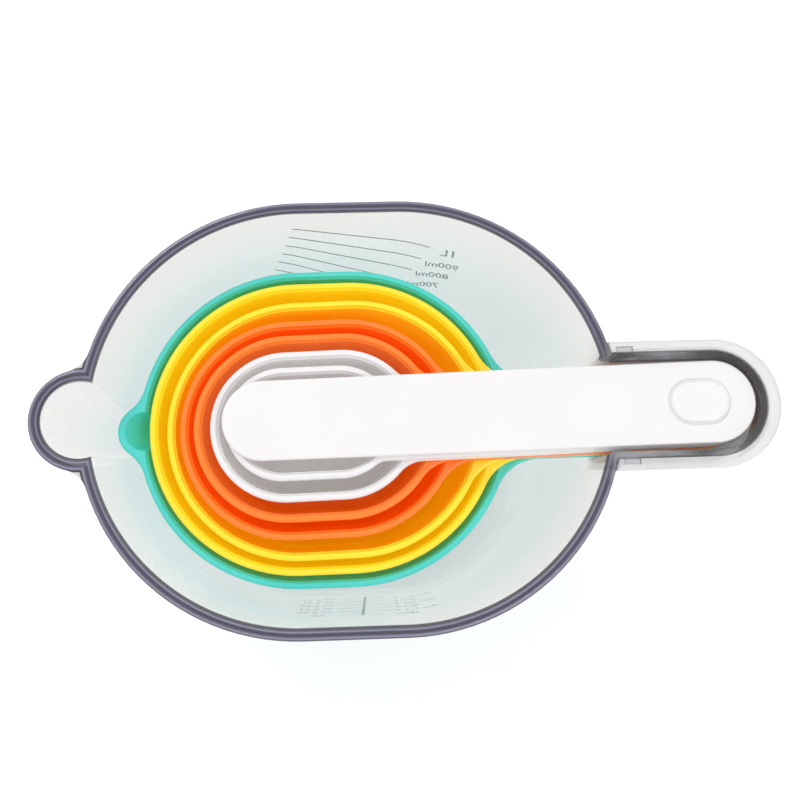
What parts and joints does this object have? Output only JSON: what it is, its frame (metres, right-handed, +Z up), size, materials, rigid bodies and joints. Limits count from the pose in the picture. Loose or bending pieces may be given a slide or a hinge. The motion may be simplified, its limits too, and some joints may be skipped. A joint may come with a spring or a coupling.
{
  "type": "measuring cup set",
  "caption": "Clear stadium-shaped measuring jug with a pouring spout and an open trough handle that holds a nested stack of coloured measuring cups and a flat leveller bar.",
  "frame": {"origin": "centre of the jug's flat base, on the surface it stands on", "axes": "+Z up, +X towards the handle, -X towards the spout, +Y to the side of the large scale"},
  "size_m": [0.2126, 0.125, 0.101],
  "materials": {
    "clear_plastic": "clear gloss",
    "frosted_grip": "satin translucent",
    "teal_plastic": "gloss",
    "yellow_plastic": "gloss",
    "orange_plastic": "gloss",
    "white_plastic": "gloss"
  },
  "bodies": {
    "jug": {"jug": "clear_plastic", "handle_grip": "frosted_grip"},
    "teal_cup": {"teal_cup": "teal_plastic"},
    "yellow_cup_large": {"yellow_cup_large": "yellow_plastic"},
    "yellow_cup_small": {"yellow_cup_small": "yellow_plastic"},
    "orange_cup_large": {"orange_cup_large": "orange_plastic"},
    "orange_cup_small": {"orange_cup_small": "orange_plastic"},
    "white_cup": {"white_cup": "white_plastic"},
    "white_spoon": {"white_spoon": "white_plastic"},
    "leveller": {"leveller": "white_plastic"}
  },
  "joints": [
    {"name": "teal_cup_lift", "type": "slide", "parent": "jug", "child": "teal_cup", "axis": [0, 0, 1], "range_m": [0, 0.105]},
    {"name": "yellow_cup_large_lift", "type": "slide", "parent": "teal_cup", "child": "yellow_cup_large", "axis": [0, 0, 1], "range_m": [0, 0.052]},
    {"name": "yellow_cup_small_lift", "type": "slide", "parent": "yellow_cup_large", "child": "yellow_cup_small", "axis": [0, 0, 1], "range_m": [0, 0.047]},
    {"name": "orange_cup_large_lift", "type": "slide", "parent": "yellow_cup_small", "child": "orange_cup_large", "axis": [0, 0, 1], "range_m": [0, 0.042]},
    {"name": "orange_cup_small_lift", "type": "slide", "parent": "orange_cup_large", "child": "orange_cup_small", "axis": [0, 0, 1], "range_m": [0, 0.038]},
    {"name": "white_cup_lift", "type": "slide", "parent": "orange_cup_small", "child": "white_cup", "axis": [0, 0, 1], "range_m": [0, 0.034]},
    {"name": "white_spoon_lift", "type": "slide", "parent": "white_cup", "child": "white_spoon", "axis": [0, 0, 1], "range_m": [0, 0.022]},
    {"name": "leveller_lift", "type": "slide", "parent": "white_spoon", "child": "leveller", "axis": [0, 0, 1], "range_m": [0, 0.03]}
  ]
}
